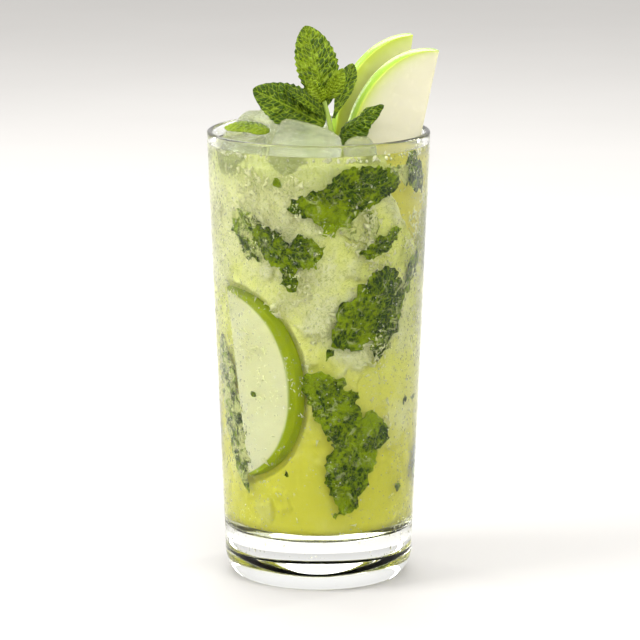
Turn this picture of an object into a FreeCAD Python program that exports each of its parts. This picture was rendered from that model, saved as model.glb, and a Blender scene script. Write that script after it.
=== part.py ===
"""A mojito in a tall tapered tumbler: thick-bottomed glass, iced drink, mint sprig and two green apple slices.

Millimetres, +Z up. The origin is the middle of the ring that the glass stands on; +X runs towards the side
where the apple slices lean on the rim, and -Y is the front, where the mint stands.
"""

import FreeCAD
import Part

import math
import os

V = FreeCAD.Vector

# ---- glass ----
glass_height = 152.0
rim_radius = 37.5            # outside of the wall at the rim
heel_radius = 31.8           # outside of the wall where the rounded heel begins
heel_height = 9.8
foot_radius = 28.2           # outer edge of the flat ring it stands on
heel_bulge = 1.25            # how far the heel's arc stands out from its chord
wall = 1.9
base_thickness = 16.5        # solid glass under the drink
floor_dish = 0.8             # how much lower the middle of the inside floor is
floor_round = 4.0            # radius between the inside wall and floor
punt_radius = 21.0           # shallow hollow under the base
punt_depth = 1.6

# ---- drink ----
headroom = 5.0               # from the drink's surface up to the rim

# ---- garnish ----
garnish_bore = 35.4          # inside radius at the drink's surface that the garnish's places are given for
seat_gap = 0.3               # a leaf's foot stands this far off the stem that carries it

# ---- apple ----
apple_radius = 37.0          # half the width of the whole apple
apple_half_height = 33.0     # half its height at the shoulder
apple_shoulder = 11.5        # radius of the shoulder's crest, where the skin turns in towards the stalk
slice_thickness = 4.0
front_slice_width = 24.8     # from the straight cut to the skin
back_slice_width = 23.1
front_slice_depth = 10.2     # from the middle of the apple to the slice's front face
back_slice_depth = 8.2

# ---- mint ----
leaf_thickness = 0.6
petiole_width = 1.3
leaf_tip_width = 0.7
leaf_teeth = 10              # along each margin
tooth_depth = 0.09           # as a share of the half width there
stem_foot_radius = 1.05
stem_top_radius = 0.75
stem_path = (V(5.6, -9.0, -10.0), V(4.8, -9.0, 7.0), V(1.6, -9.0, 16.5))   # foot, bend and top
petiole_share = 0.06         # length of the narrow foot, as a share of the leaf

# ---- ice ----
block_power = 3.6            # how square the melted blocks are: 2 is an egg, 10 is nearly a cube
ice_ring_points = 16

level = glass_height - headroom


def wall_radius_outside(z):
    """Outside radius of the straight tapered wall at height z."""
    return heel_radius + (rim_radius - heel_radius) * (z - heel_height) / (glass_height - heel_height)


def wall_radius_inside(z):
    return wall_radius_outside(z) - wall


def revolved(edges):
    """The closed profile made of these edges, turned round the vertical axis."""
    return Part.Face(Part.Wire(Part.__sortEdges__(edges))).revolve(V(0, 0, 0), V(0, 0, 1), 360)


def line(a, b):
    return Part.makeLine(V(a[0], 0, a[1]), V(b[0], 0, b[1]))


def arc(a, middle, b):
    return Part.Arc(V(a[0], 0, a[1]), V(middle[0], 0, middle[1]), V(b[0], 0, b[1])).toShape()


def inside_edges(top):
    """The inside of the glass as profile edges, from the middle of its floor up to height top on the wall."""
    lean = math.atan2(rim_radius - heel_radius, glass_height - heel_height)
    floor_edge = base_thickness
    # the floor's round is tangent to the level line through its edge and to the leaning wall
    tangent = floor_round / math.tan((math.pi / 2 + lean) / 2)
    corner_radius = wall_radius_inside(floor_edge)
    flat_end = (corner_radius - tangent, floor_edge)
    centre = (flat_end[0], floor_edge + floor_round)
    wall_start = (centre[0] + floor_round * math.cos(lean), centre[1] - floor_round * math.sin(lean))
    half_way = (lean - math.pi / 2) / 2 - lean
    middle = (centre[0] + floor_round * math.cos(half_way), centre[1] + floor_round * math.sin(half_way))
    dish_middle = (flat_end[0] / 2, floor_edge - 0.75 * floor_dish)
    return [
        arc((0, floor_edge - floor_dish), dish_middle, flat_end),
        arc(flat_end, middle, wall_start),
        line(wall_start, (wall_radius_inside(top), top)),
    ]


def heel_middle():
    """The middle point of the heel's outward arc, between the foot and the wall."""
    run = heel_radius - foot_radius
    length = math.hypot(run, heel_height)
    return (
        (foot_radius + heel_radius) / 2 + heel_bulge * heel_height / length,
        heel_height / 2 - heel_bulge * run / length,
    )


def make_glass():
    rim_round = wall / 2
    shoulder = glass_height - rim_round
    outer_top = (wall_radius_outside(shoulder), shoulder)
    inner_top = (wall_radius_inside(shoulder), shoulder)
    rim_crown = ((outer_top[0] + inner_top[0]) / 2, glass_height)
    punt_middle = (punt_radius / 2, 0.75 * punt_depth)
    edges = [
        arc((0, punt_depth), punt_middle, (punt_radius, 0)),
        line((punt_radius, 0), (foot_radius, 0)),
        arc((foot_radius, 0), heel_middle(), (heel_radius, heel_height)),
        line((heel_radius, heel_height), outer_top),
        arc(outer_top, rim_crown, inner_top),
        *inside_edges(shoulder),
        line((0, base_thickness - floor_dish), (0, punt_depth)),
    ]
    return revolved(edges)


def make_drink(sunk):
    """Everything up to the drink's level inside the glass, cut round the pieces that reach into it."""
    edges = [
        *inside_edges(level),
        line((wall_radius_inside(level), level), (0, level)),
        line((0, level), (0, base_thickness - floor_dish)),
    ]
    return revolved(edges).cut(sunk)


def ice_piece(centre, size, turn, unevenness, phase):
    """A melted block of ice: rounded-square rings of a superellipsoid, each pushed in and out a little.

    turn is (yaw, tilt about X, tilt about Y) in degrees, phase shifts where the bumps lie.
    """
    ends = 0.93
    heights = [-ends, -0.8, -0.5, 0.0, 0.5, 0.8, ends]
    rings = []
    for k, height in enumerate(heights):
        spread = (1 - abs(height) ** block_power) ** (1 / block_power)
        points = []
        for i in range(ice_ring_points):
            a = 2 * math.pi * i / ice_ring_points
            c, s = math.cos(a), math.sin(a)
            square = (abs(c) ** block_power + abs(s) ** block_power) ** (-1 / block_power)
            bump = 1 + unevenness * (math.sin(2 * a + phase + 0.9 * k) + 0.6 * math.sin(3 * a - 2 * phase + 0.5 * k))
            reach = square * spread * bump
            points.append(V(reach * c * size[0] / 2, reach * s * size[1] / 2, height * size[2] / 2))
        curve = Part.BSplineCurve()
        curve.interpolate(points, PeriodicFlag=True)
        rings.append(Part.Wire(curve.toShape()))
    block = Part.makeLoft(rings, True, False)
    block.rotate(V(0, 0, 0), V(1, 0, 0), turn[1])
    block.rotate(V(0, 0, 0), V(0, 1, 0), turn[2])
    block.rotate(V(0, 0, 0), V(0, 0, 1), turn[0])
    block.translate(V(*centre))
    return block


def make_apple():
    """A whole apple, its middle at the origin: an upright half ellipse turned round, level inside its shoulders."""
    top = (apple_shoulder, apple_half_height)
    bottom = (apple_shoulder, -apple_half_height)
    section = Part.Ellipse(V(top[0], 0, top[1]), V(apple_radius, 0, 0), V(apple_shoulder, 0, 0))
    edges = [
        Part.ArcOfEllipse(section, 0, math.pi).toShape(),
        line(bottom, (0, bottom[1])),
        line((0, bottom[1]), (0, top[1])),
        line((0, top[1]), top),
    ]
    return revolved(edges)


def apple_slice(tip, lean, yaw, width, depth):
    """A flat slice off an apple's cheek: straight where it was cut beside the core, curved along the skin.

    tip is the upper end of the straight edge on the front face, lean tips the straight edge over to +X and
    yaw turns the skin side towards the front. width runs from the straight cut to the skin, and depth from
    the apple's middle to the slice's front face.
    """
    cut_offset = math.sqrt(apple_radius**2 - depth**2) - width
    tip_radius = math.hypot(depth, cut_offset)
    across = max(0, (tip_radius - apple_shoulder) / (apple_radius - apple_shoulder))
    half_cut = apple_half_height * math.sqrt(1 - across**2)
    apple = make_apple()
    apple.translate(V(cut_offset, depth, 0))
    side = 2 * apple_radius
    slab = Part.makeBox(side, slice_thickness, 2 * side, V(-side, 0, -side))
    piece = apple.common(slab)
    piece.translate(V(0, 0, -half_cut))
    piece.rotate(V(0, 0, 0), V(0, 1, 0), lean)
    piece.rotate(V(0, 0, 0), V(0, 0, 1), yaw)
    piece.translate(V(*tip))
    return piece


def stem_point(share):
    """A point on the stem's middle line, from its foot at 0 to its top at 1."""
    foot, bend, top = stem_path
    return foot * (1 - share) ** 2 + bend * (2 * share * (1 - share)) + top * share**2


def stem_radius(share):
    return stem_foot_radius + (stem_top_radius - stem_foot_radius) * share


def stem_direction(share):
    return (stem_point(min(share + 0.01, 1)) - stem_point(max(share - 0.01, 0))).normalize()


def make_stem():
    sections = []
    for i in range(7):
        share = i / 6
        circle = Part.makeCircle(stem_radius(share), stem_point(share), stem_direction(share))
        sections.append(Part.Wire(circle))
    return Part.makeLoft(sections, True, False)


def blade_half_width(share, width):
    """Half the width of an ovate blade, widest a little nearer the foot than the tip."""
    round_part = math.sin(math.pi * share**0.8) ** 0.62 if 0 < share < 1 else 0
    least = petiole_width / 2 if share < 0.5 else leaf_tip_width / 2
    return max(least, width / 2 * round_part)


def leaf(base, tip, facing, width, arch, fold):
    """A toothed mint leaf, folded along its midrib.

    arch is how far its middle bows towards facing, and fold is how far each margin stands up on that side,
    as a share of the half width; a negative fold turns the margins down.
    """
    axis = tip - base
    side = axis.cross(facing).normalize()
    up = side.cross(axis).normalize()
    stations = [(0, 1), (petiole_share, 1)]
    tooth = (1 - petiole_share) / leaf_teeth
    for i in range(leaf_teeth):
        start = petiole_share + i * tooth
        stations.append((start + 0.65 * tooth, 1))
        stations.append((start + tooth, 1 - tooth_depth))
    stations[-1] = (1, 1)
    sections = []
    for share, reach in stations:
        half = blade_half_width(share, width) * reach
        centre = base + axis * share + up * (arch * 4 * share * (1 - share))
        lift = fold * half
        corners = (
            (-half, lift),
            (0, 0),
            (half, lift),
            (half, lift - leaf_thickness),
            (0, -leaf_thickness),
            (-half, lift - leaf_thickness),
        )
        points = [centre + side * x + up * y for x, y in corners]
        sections.append(Part.makePolygon([*points, points[0]]))
    return Part.makeLoft(sections, True, True)


def leaf_on_stem(share, tip, facing, width, arch, fold):
    """A leaf whose foot stands on the stem's side at this share of its length, on the side the tip lies."""
    root = stem_point(share)
    along = stem_direction(share)
    outward = V(*tip) - root
    sideways = (outward - along * outward.dot(along)).normalize()
    base = root + sideways * (stem_radius(share) + seat_gap + petiole_width / 2)
    return leaf(base, V(*tip), V(*facing), width, arch, fold)


def set_in_drink(shape):
    """Takes a piece from the garnish's own place, its origin mid-surface, to the drink's surface in this glass."""
    shape.scale(wall_radius_inside(level) / garnish_bore, V(0, 0, 0))
    shape.translate(V(0, 0, level))
    return shape


slices = {
    "apple_slice_front": apple_slice((40.3, 2.0, 31.3), 12.7, 20, front_slice_width, front_slice_depth),
    "apple_slice_back": apple_slice((31.8, 12.0, 35.3), 7.0, 15, back_slice_width, back_slice_depth),
}

ice = {
    "ice_front": ice_piece((-4.6, -23.0, 1.1), (23.0, 14.5, 18.5), (4, -10, 14), 0.035, 0.4),
    "ice_front_small": ice_piece((13.2, -22.6, 0.6), (9.6, 9.0, 11.0), (25, 6, -8), 0.03, 1.7),
    "ice_left": ice_piece((-24.1, -13.7, -1.4), (12.5, 13.5, 13.0), (38, -8, 10), 0.035, 2.6),
    "ice_left_edge": ice_piece((-28.4, 0.8, -1.0), (8.5, 11.0, 12.0), (-4, 6, 8), 0.03, 5.9),
    "ice_middle": ice_piece((-10.6, -2.7, 2.3), (14.0, 14.5, 20.0), (12, 8, 16), 0.03, 3.3),
    "ice_centre": ice_piece((1.2, 4.4, -0.6), (7.0, 9.0, 11.0), (18, -8, 6), 0.03, 2.1),
    "ice_rear_left": ice_piece((-20.3, 12.6, 0.2), (15.5, 14.5, 18.0), (-32, 10, 8), 0.035, 4.4),
    "ice_rear": ice_piece((-2.2, 20.5, 0.2), (16.5, 17.0, 18.0), (15, -12, 6), 0.035, 5.2),
    "ice_rear_edge": ice_piece((-15.6, 25.9, -1.2), (7.0, 7.5, 11.0), (28, 6, -6), 0.03, 1.2),
    "ice_rear_right": ice_piece((15.9, 21.0, -1.4), (13.0, 11.0, 14.5), (40, 8, -6), 0.03, 0.9),
}

leaves = {
    "mint_leaf_tall": leaf_on_stem(0.86, (-4.4, -4.6, 40.5), (0.25, -1, 0.1), 15.0, 0.7, 0.16),
    "mint_leaf_left": leaf_on_stem(0.62, (-21.7, -13.4, 20.5), (0.05, -1, 0.3), 16.0, 1.0, 0.12),
    "mint_leaf_left_young": leaf_on_stem(0.8, (-9.8, -16.6, 20.8), (0.1, -0.8, 0.6), 6.2, 0.6, 0.2),
    "mint_leaf_bud_left": leaf_on_stem(0.97, (-2.4, -13.4, 24.4), (-0.3, -1, 0.1), 6.2, 0.4, 0.3),
    "mint_leaf_bud_right": leaf_on_stem(0.99, (8.0, -10.6, 27.0), (0.3, -1, 0.2), 6.4, 0.5, 0.25),
    "mint_leaf_right": leaf_on_stem(0.36, (21.4, -18.5, 15.8), (-0.35, -0.75, 0.6), 9.4, 1.4, -0.3),
    "mint_leaf_back": leaf_on_stem(0.68, (11.4, -2.4, 27.6), (-0.3, -1, 0.2), 6.6, -0.6, 0.12),
    "mint_leaf_loose": leaf(V(-16.4, -12.5, 6.2), V(-31.4, -7.5, 6.8), V(0.1, -0.45, 1), 9.0, 1.4, -0.12),
}

garnish = {**slices, **ice, **leaves, "mint_stem": make_stem()}
for shape in garnish.values():
    set_in_drink(shape)

in_the_drink = [shape for name, shape in garnish.items() if not name.startswith("mint_leaf")]
pieces = {"glass": make_glass(), "drink": make_drink(in_the_drink), **garnish}

os.makedirs("parts", exist_ok=True)
for name, shape in pieces.items():
    shape.exportStep(f"parts/{name}.step")
    print(f"{name}: {shape.Volume / 1000:.2f} cm3, valid {shape.isValid()}, solids {len(shape.Solids)}")
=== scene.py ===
import math

import bpy
import numpy as np
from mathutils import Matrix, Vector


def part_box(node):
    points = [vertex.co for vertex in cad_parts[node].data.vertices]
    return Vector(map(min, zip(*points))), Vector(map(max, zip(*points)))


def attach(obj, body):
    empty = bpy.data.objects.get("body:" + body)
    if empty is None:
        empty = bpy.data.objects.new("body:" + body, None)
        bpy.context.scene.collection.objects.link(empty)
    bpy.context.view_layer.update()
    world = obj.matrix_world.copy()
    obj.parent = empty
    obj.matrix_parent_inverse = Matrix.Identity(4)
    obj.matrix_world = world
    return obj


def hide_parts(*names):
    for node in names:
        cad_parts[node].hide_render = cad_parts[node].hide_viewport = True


# A mojito in a tall tumbler: clear glass beaded with condensation, cloudy drink full of ice and mint,
# a sprig and two green apple slices at the rim. Metres, +Z up, -Y is the front.

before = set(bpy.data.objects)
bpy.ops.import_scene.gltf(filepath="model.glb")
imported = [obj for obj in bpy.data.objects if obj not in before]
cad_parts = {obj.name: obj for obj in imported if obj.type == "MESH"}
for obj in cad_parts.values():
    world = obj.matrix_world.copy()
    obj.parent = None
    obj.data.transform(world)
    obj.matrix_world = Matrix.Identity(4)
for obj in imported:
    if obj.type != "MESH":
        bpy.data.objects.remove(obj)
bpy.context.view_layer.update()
mm = 0.001

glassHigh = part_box("glass")[1]
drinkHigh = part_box("drink")[1]


# ------- small tools -------

# angles at even steps once round
def fullTurn(count):
    return np.linspace(0, 2 * math.pi, count, endpoint=False)


# vectors of length one in the same directions
def unit(vectors):
    return vectors / np.linalg.norm(vectors, axis=-1, keepdims=True)


# quads between rows of rings: each goes to the next point round and to the row after
def ringFaces(rows, columns):
    i = np.arange(rows - 1)[:, None]
    j = np.arange(columns)[None, :]
    j2 = (j + 1) % columns
    corners = [i * columns + j, i * columns + j2, (i + 1) * columns + j2, (i + 1) * columns + j]
    return np.stack([np.broadcast_to(c, (i.size, j.size)).ravel() for c in corners], axis=1)


# triangles that close a ring of points onto one more point
def fanFaces(first, count, middle, flip=False):
    a = first + np.arange(count)
    b = first + (np.arange(count) + 1) % count
    m = np.full(count, middle)
    return np.stack([b, a, m] if flip else [a, b, m], axis=1)


# a direction over the whole sphere, as a grid of rows from pole to pole and columns round
def sphereGrid(rows, columns):
    up = np.linspace(0, math.pi, rows + 2)[1:-1, None]
    x, y = np.sin(up) * np.cos(fullTurn(columns)), np.sin(up) * np.sin(fullTurn(columns))
    return np.stack([x, y, np.broadcast_to(np.cos(up), x.shape)], axis=-1)


# rows of rings closed onto one point at each end; the two end points come last
def ballFaces(rows, columns):
    return [
        ringFaces(rows, columns),
        fanFaces(0, columns, rows * columns, flip=True),
        fanFaces((rows - 1) * columns, columns, rows * columns + 1),
    ]


# six times the volume that the faces enclose: negative when they point inwards
def enclosed(points, faceSets):
    total = 0.0
    for faces in faceSets:
        for k in range(1, faces.shape[1] - 1):
            a, b, c = points[faces[:, 0]], points[faces[:, k]], points[faces[:, k + 1]]
            total += np.einsum("ij,ij->", a, np.cross(b, c))
    return total


def addObject(name, data):
    thing = bpy.data.objects.new(name, data)
    bpy.context.scene.collection.objects.link(thing)
    return thing


# a closed mesh at the origin; values are numbers kept on each point for its material to read, and flat is
# its map: two numbers for each point
def makePiece(name, points, faceSets, material, replaces=(), values=None, flat=None):
    mesh = bpy.data.meshes.new(name)
    points = np.asarray(points, dtype=float).reshape(-1, 3)
    if enclosed(points - points.mean(axis=0), faceSets) < 0:
        faceSets = [faces[:, ::-1] for faces in faceSets]
    faces = [face for part in faceSets for face in part.tolist()]
    mesh.from_pydata(points.tolist(), [], faces)
    for key, numbers in (values or {}).items():
        kept = mesh.attributes.new(key, "FLOAT", "POINT")
        kept.data.foreach_set("value", np.ravel(numbers).astype(np.float32))
    if flat is not None:
        corner = np.zeros(len(mesh.loops), dtype=np.int32)
        mesh.loops.foreach_get("vertex_index", corner)
        layer = mesh.uv_layers.new(name="flat")
        layer.data.foreach_set("uv", np.asarray(flat, dtype=np.float32)[corner].ravel())
    mesh.polygons.foreach_set("use_smooth", np.ones(len(mesh.polygons), dtype=bool))
    mesh.materials.append(material)
    mesh.update()
    piece = addObject(name, mesh)
    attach(piece, "root")
    if replaces:
        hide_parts(*replaces)
    return piece


# the place at a radius from the upright axis, an angle round it from +X and a height
def roundPlace(radius, angle, height):
    return np.stack([radius * np.cos(angle), radius * np.sin(angle), height], axis=-1)


# a profile of (radius, height) turned round the upright axis; its two ends are on the axis
def turnedPoints(profile, segments):
    ring = profile[1:-1]
    height = np.repeat(ring[:, 1:], segments, axis=1)
    body = roundPlace(ring[:, :1], fullTurn(segments), height).reshape(-1, 3)
    return np.vstack([body, [[0, 0, profile[0, 1]], [0, 0, profile[-1, 1]]]])


# points along a circular arc through three given points (radius, height)
def arcPoints(a, middle, b, count):
    (ax, ay), (bx, by), (cx, cy) = a, middle, b
    d = 2 * (ax * (by - cy) + bx * (cy - ay) + cx * (ay - by))
    ux = ((ax**2 + ay**2) * (by - cy) + (bx**2 + by**2) * (cy - ay) + (cx**2 + cy**2) * (ay - by)) / d
    uy = ((ax**2 + ay**2) * (cx - bx) + (bx**2 + by**2) * (ax - cx) + (cx**2 + cy**2) * (bx - ax)) / d
    start, mid, end = (math.atan2(p[1] - uy, p[0] - ux) for p in (a, middle, b))
    turn = (end - start) % (2 * math.pi)
    if (mid - start) % (2 * math.pi) > turn:
        turn -= 2 * math.pi
    t = start + turn * np.linspace(0, 1, count)
    radius = math.hypot(ax - ux, ay - uy)
    return np.stack([ux + radius * np.cos(t), uy + radius * np.sin(t)], axis=1)


def linePoints(a, b, count):
    return np.array(a) + (np.array(b) - np.array(a)) * np.linspace(0, 1, count)[:, None]


# a smooth uneven field from -1 to 1: sine waves in random directions added up, long ones strongest
def unevenness(points, seed, longest, shortest, count=24):
    rng = np.random.default_rng(seed)
    points = np.asarray(points)
    total = np.zeros(points.shape[:-1])
    weightSum = 0
    for length in np.geomspace(longest, shortest, count):
        direction = unit(rng.normal(size=points.shape[-1]))
        weight = length**0.6
        total += weight * np.sin(points @ direction * (2 * math.pi / length) + rng.uniform(0, 2 * math.pi))
        weightSum += weight**2
    return total / math.sqrt(weightSum * 2)


def smoothStep(value, low, high):
    t = np.clip((value - low) / (high - low), 0, 1)
    return t * t * (3 - 2 * t)


# turned about X, then Y, then Z, in degrees
def turned(points, aboutX, aboutY, aboutZ):
    for axis, degrees in ((0, aboutX), (1, aboutY), (2, aboutZ)):
        c, s = math.cos(math.radians(degrees)), math.sin(math.radians(degrees))
        i, j = (axis + 1) % 3, (axis + 2) % 3
        points = points.copy()
        points[..., i], points[..., j] = (
            c * points[..., i] - s * points[..., j],
            s * points[..., i] + c * points[..., j],
        )
    return points


# ------- materials -------

# settings by name are properties of the node, by number or spelt-out key are its sockets
def addNode(tree, kind, sockets=None, **properties):
    node = tree.nodes.new("ShaderNode" + kind)
    for key, value in properties.items():
        setattr(node, key, value)
    for key, value in (sockets or {}).items():
        if isinstance(value, bpy.types.NodeSocket):
            tree.links.new(value, node.inputs[key])
        else:
            node.inputs[key].default_value = value
    return node


# a node material: its tree, its surface shader and a short way to add and join nodes
class Finish:
    def __init__(self, name, **settings):
        self.material = bpy.data.materials.new(name)
        self.material.use_nodes = True
        self.tree = self.material.node_tree
        self.shader = self.tree.nodes["Principled BSDF"]
        self.output = self.tree.nodes["Material Output"]
        for key, value in settings.items():
            self.shader.inputs[key.replace("_", " ")].default_value = value

    def add(self, kind, sockets=None, **properties):
        return addNode(self.tree, kind, sockets, **properties)

    def join(self, source, key):
        self.tree.links.new(source, self.shader.inputs[key])

    def place(self):
        return self.add("TexCoord").outputs["Object"]

    def value(self, name):
        return self.add("Attribute", attribute_name=name).outputs["Fac"]

    def noise(self, where, scale, detail=4.0, roughness=0.6, distortion=0.0):
        sockets = {"Vector": where, "Scale": scale, "Detail": detail, "Roughness": roughness,
                   "Distortion": distortion}
        return self.add("TexNoise", sockets).outputs["Fac"]

    # a number from low..high taken to newLow..newHigh
    def spread(self, number, low, high, newLow=0.0, newHigh=1.0, smooth=True):
        node = self.add("MapRange", {0: number, 1: low, 2: high, 3: newLow, 4: newHigh})
        node.interpolation_type = "SMOOTHSTEP" if smooth else "LINEAR"
        return node.outputs[0]

    def math(self, operation, a, b=0.0):
        return self.add("Math", {0: a, 1: b}, operation=operation).outputs[0]

    def mix(self, factor, a, b):
        return self.add("Mix", {0: factor, 6: a, 7: b}, data_type="RGBA").outputs[2]

    def bump(self, height, strength, distance):
        node = self.add("Bump", {"Strength": strength, "Distance": distance, "Height": height})
        self.join(node.outputs["Normal"], "Normal")


def colour(red, green, blue):
    return (red, green, blue, 1.0)


def timesColour(times, tint):
    return colour(*(min(1, times * part) for part in tint[:3]))


# ------- the glass -------

glassShape = {
    "height": glassHigh[2],
    "rimRadius": 37.5 * mm,
    "heelRadius": 31.8 * mm,
    "heelHeight": 9.8 * mm,
    "footRadius": 28.2 * mm,
    "heelBulge": 1.25 * mm,
    "wall": 1.9 * mm,
    "baseThickness": 16.5 * mm,
    "floorDish": 0.8 * mm,
    "floorRound": 4.0 * mm,
    "puntRadius": 21.0 * mm,
    "puntDepth": 1.6 * mm,
    "segments": 288,
}


# how much the wall widens for each step up
def wallSlope():
    g = glassShape
    return (g["rimRadius"] - g["heelRadius"]) / (g["height"] - g["heelHeight"])


def outsideRadius(z):
    return glassShape["heelRadius"] + wallSlope() * (z - glassShape["heelHeight"])


def insideRadius(z):
    return outsideRadius(z) - glassShape["wall"]


# the inside from the middle of the floor up the wall to top, grown outwards by extra
def insideProfile(top, extra=0.0, wallSteps=60):
    g = glassShape
    lean = math.atan(wallSlope())
    corner = insideRadius(g["baseThickness"]) + extra
    floor = g["baseThickness"] - extra
    flatEnd = corner - g["floorRound"] / math.tan((math.pi / 2 + lean) / 2)
    centre = (flatEnd, floor + g["floorRound"])
    turn = np.linspace(-math.pi / 2, -lean, 14)
    rounded = np.array(centre) + g["floorRound"] * np.stack([np.cos(turn), np.sin(turn)], axis=1)
    radius = np.linspace(0, flatEnd, 24)[:-1]
    dish = np.stack([radius, floor - g["floorDish"] * (1 - (radius / flatEnd) ** 2)], axis=1)
    wall = linePoints(rounded[-1], (insideRadius(top) + extra, top), wallSteps)[1:]
    return np.vstack([dish, rounded, wall])


# the whole section: hollow under the base, foot ring, rounded heel, wall, rolled rim, inside and floor
def glassProfile():
    g = glassShape
    run = g["heelRadius"] - g["footRadius"]
    length = math.hypot(run, g["heelHeight"])
    heelMiddle = (
        (g["footRadius"] + g["heelRadius"]) / 2 + g["heelBulge"] * g["heelHeight"] / length,
        g["heelHeight"] / 2 - g["heelBulge"] * run / length,
    )
    rimRound = g["wall"] / 2
    shoulder = g["height"] - rimRound
    outerTop, innerTop = outsideRadius(shoulder), insideRadius(shoulder)
    puntMiddle = (g["puntRadius"] / 2, 0.75 * g["puntDepth"])
    punt = arcPoints((0, g["puntDepth"]), puntMiddle, (g["puntRadius"], 0), 16)
    foot = linePoints((g["puntRadius"], 0), (g["footRadius"], 0), 6)[1:]
    heel = arcPoints((g["footRadius"], 0), heelMiddle, (g["heelRadius"], g["heelHeight"]), 26)[1:]
    wall = linePoints((g["heelRadius"], g["heelHeight"]), (outerTop, shoulder), 70)[1:]
    rimTop = ((outerTop + innerTop) / 2, g["height"])
    rim = arcPoints((outerTop, shoulder), rimTop, (innerTop, shoulder), 18)[1:-1]
    inside = insideProfile(shoulder)[::-1]
    return np.vstack([punt, foot, heel, wall, rim, inside])


def clearGlass():
    finish = Finish("clearGlass", Roughness=0.0, IOR=1.47, Transmission_Weight=1.0,
                    Base_Color=colour(0.975, 0.99, 0.975), Specular_Tint=colour(0.12, 0.12, 0.12))
    where = finish.place()
    ripple = finish.noise(where, 55.0, 2.0, 0.5)
    finish.bump(ripple, 0.05, 0.002)
    return finish.material


def makeGlass():
    profile = glassProfile()
    points = turnedPoints(profile, glassShape["segments"])
    faces = ballFaces(len(profile) - 2, glassShape["segments"])
    makePiece("glassBody", points, faces, clearGlass(), ("glass",))
    print("glass: turned")


# ------- the drink -------

drinkLook = {
    "level": drinkHigh[2],
    "intoWall": 0.15 * mm,       # how far the drink reaches into the glass, so that no air shows
    "meniscus": 1.1 * mm,        # how far it climbs the wall
    "meniscusWidth": 2.6 * mm,
    "lumps": 260,                # ice lumps against the wall all round
    "lumpSize": (5 * mm, 13 * mm),
    "shallowest": 1.8 * mm,      # from the wall to the nearest ice
    "deepest": 4.0 * mm,         # from the wall to the cloudy drink between the lumps
    "room": 0.9 * mm,            # from a sunk leaf back to the cloudy drink
    "grain": 0.22 * mm,          # roughness of the cloudy drink's face, in its upper half
    "floorGap": 1.1 * mm,        # clear drink under and over the cloudy one, and how that is rounded off
    "topGap": 1.2 * mm,
    "floorRound": 4 * mm,
    "topRound": 3 * mm,
    "coreRows": 220,
    "coreColumns": 440,
    "paleFrom": 20 * mm,         # the ice makes it paler from here
    "paleTo": 135 * mm,          # to here
    "shadeFrom": 133 * mm,       # and it lies in the shade of the ice on top from here
    "shadeTo": 143 * mm,
    "pale": colour(1.0, 1.0, 0.60),
    "green": colour(0.89, 0.92, 0.31),
    "greenLow": colour(0.79, 0.765, 0.085),
    "frost": colour(1.0, 1.0, 0.76),
    "shade": colour(0.40, 0.46, 0.05),
    "underIce": colour(0.58, 0.64, 0.20),
    # where, how far round and how strongly the drink is made paler: by the ice, and the first, at the upper
    # left front, is a painted glow of the light from the left
    "clouds": [((-0.022, -0.024, 0.132), 0.034, 1.0), ((-0.004, -0.033, 0.100), 0.020, 0.4),
               ((0.010, -0.032, 0.088), 0.016, 0.3), ((0.018, 0.028, 0.120), 0.030, 0.5)],
}


def drinkLiquid():
    finish = Finish("drinkLiquid", Roughness=0.0, IOR=1.34, Transmission_Weight=1.0,
                    Base_Color=colour(0.99, 0.99, 0.95), Specular_Tint=colour(0.05, 0.05, 0.05))
    soak = finish.add("VolumeAbsorption", {"Color": colour(0.96, 0.97, 0.40), "Density": 32.0})
    finish.tree.links.new(soak.outputs[0], finish.output.inputs["Volume"])
    return finish.material


def makeLiquid():
    d = drinkLook
    side = insideProfile(d["level"] + d["meniscus"], d["intoWall"])
    edge = side[-1, 0]
    inward = np.linspace(0, edge, 40)[1:]
    height = d["level"] + d["meniscus"] * np.exp(-inward / (d["meniscusWidth"] / 2))
    surface = np.stack([edge - inward, height], axis=1)
    profile = np.vstack([side, surface])
    points = turnedPoints(profile, 256)
    makePiece("drinkLiquid", points, ballFaces(len(profile) - 2, 256), drinkLiquid(), ("drink",))


# ice lumps near the wall, laid over one another like cards: each is a rounded square, turned and tilted, that
# hides what is under it where it covers; its margin fades over a few millimetres
def lumpField(angle, height):
    d = drinkLook
    rng = np.random.default_rng(31)
    low, high = glassShape["baseThickness"], d["level"]
    middleRadius = insideRadius((low + high) / 2)
    place = roundPlace(middleRadius, angle, height)
    warpX = 2.2 * mm * unevenness(place, 5, 24 * mm, 2 * mm)
    warpZ = 2.2 * mm * unevenness(place, 6, 24 * mm, 2 * mm)
    depth = np.full(angle.shape, d["deepest"])
    ice = np.full(angle.shape, 0.2)
    for k in range(d["lumps"]):
        centreAngle = (k * 2.399963 + rng.normal(0, 0.2)) % (2 * math.pi)
        centreHeight = low + (high - low) * rng.uniform(0, 1) ** 0.75
        size = rng.uniform(*d["lumpSize"])
        spin = rng.uniform(0, math.pi)
        long = rng.uniform(0.55, 1.0)
        nearness = rng.uniform(0.0, 1.0)
        tilt = rng.normal(0, 0.12, 2)
        softness = rng.uniform(0.35, 0.95)
        around = (angle - centreAngle + math.pi) % (2 * math.pi) - math.pi
        dx = around * middleRadius + warpX
        dz = height - centreHeight + warpZ
        u = (math.cos(spin) * dx + math.sin(spin) * dz) / size
        v = (-math.sin(spin) * dx + math.cos(spin) * dz) / (size * long)
        cover = 1 - smoothStep((np.abs(u) ** 2.6 + np.abs(v) ** 2.6) ** (1 / 2.6), 1 - softness, 1.0)
        lumpDepth = d["deepest"] + (d["shallowest"] - d["deepest"]) * nearness + tilt[0] * dx + tilt[1] * dz
        depth = depth * (1 - cover) + lumpDepth * cover
        ice = ice * (1 - cover) + nearness * cover
    return depth, ice


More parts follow.
